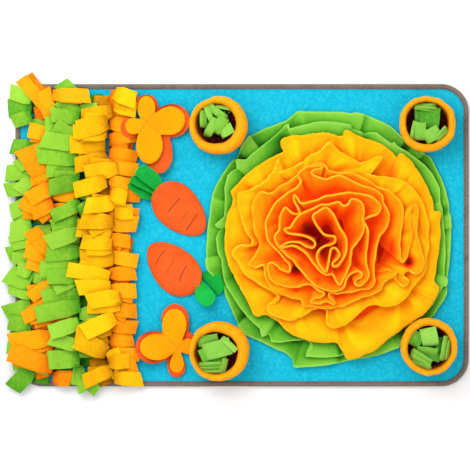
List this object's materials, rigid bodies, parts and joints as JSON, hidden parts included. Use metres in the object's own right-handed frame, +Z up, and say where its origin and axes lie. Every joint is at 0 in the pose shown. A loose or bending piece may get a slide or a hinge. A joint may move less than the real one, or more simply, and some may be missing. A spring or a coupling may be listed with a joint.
{
  "type": "snuffle mat",
  "caption": "Rectangular plush snuffle mat with a bound edge, a fringe of fleece strips at one end, corner cups, applique carrots and butterflies, and a large ruffled flower.",
  "frame": {"origin": "middle of the panel's underside, where the mat lies on the floor", "axes": "+Z up out of the mat's face; +X along the long side, from the fleece strips towards the flower; +Y along the short side, towards the carrots' upper butterfly"},
  "size_m": [0.9223, 0.6451, 0.0722],
  "materials": {
    "plush_blue": "short cyan plush pile",
    "binding_grey": "woven grey-brown tape",
    "fleece_green": "light green fleece, cut edges",
    "fleece_yellow": "yellow fleece, cut edges",
    "fleece_orange": "orange fleece, cut edges",
    "felt_coral": "coral felt",
    "felt_yellow": "amber felt",
    "felt_leaf": "leaf green felt",
    "cup_orange": "orange fleece",
    "ruffle_green": "light green fleece",
    "ruffle_yellow": "amber fleece, gathered"
  },
  "bodies": {
    "root": {"base_panel": "plush_blue", "binding": "binding_grey", "strips_green_outer": "fleece_green", "strips_orange_outer": "fleece_orange", "strips_green_inner": "fleece_green", "strips_orange_inner": "fleece_orange", "strips_yellow": "fleece_yellow", "butterfly_top_backing": "felt_coral", "butterfly_top_wings": "felt_yellow", "butterfly_bottom_backing": "felt_coral", "butterfly_bottom_wings": "felt_yellow", "carrot_top_body": "felt_coral", "carrot_bottom_body": "felt_coral", "carrot_top_leaf_1": "felt_leaf", "carrot_top_leaf_2": "felt_leaf", "carrot_top_leaf_3": "felt_leaf", "carrot_bottom_leaf_1": "felt_leaf", "carrot_bottom_leaf_2": "felt_leaf", "cup_1": "cup_orange", "cup_2": "cup_orange", "cup_3": "cup_orange", "cup_4": "cup_orange", "cup_tuft_1": "fleece_green", "cup_tuft_2": "fleece_green", "cup_tuft_3": "fleece_green", "cup_tuft_4": "fleece_green", "flower_leaf_ruffle_1": "ruffle_green", "flower_leaf_ruffle_2": "ruffle_green", "flower_ruffle_1": "ruffle_yellow", "flower_ruffle_2": "ruffle_yellow", "flower_ruffle_3": "ruffle_yellow", "flower_ruffle_4": "ruffle_yellow", "flower_ruffle_5": "ruffle_yellow", "flower_ruffle_6": "ruffle_yellow", "flower_ruffle_7": "ruffle_yellow"}
  },
  "joints": []
}
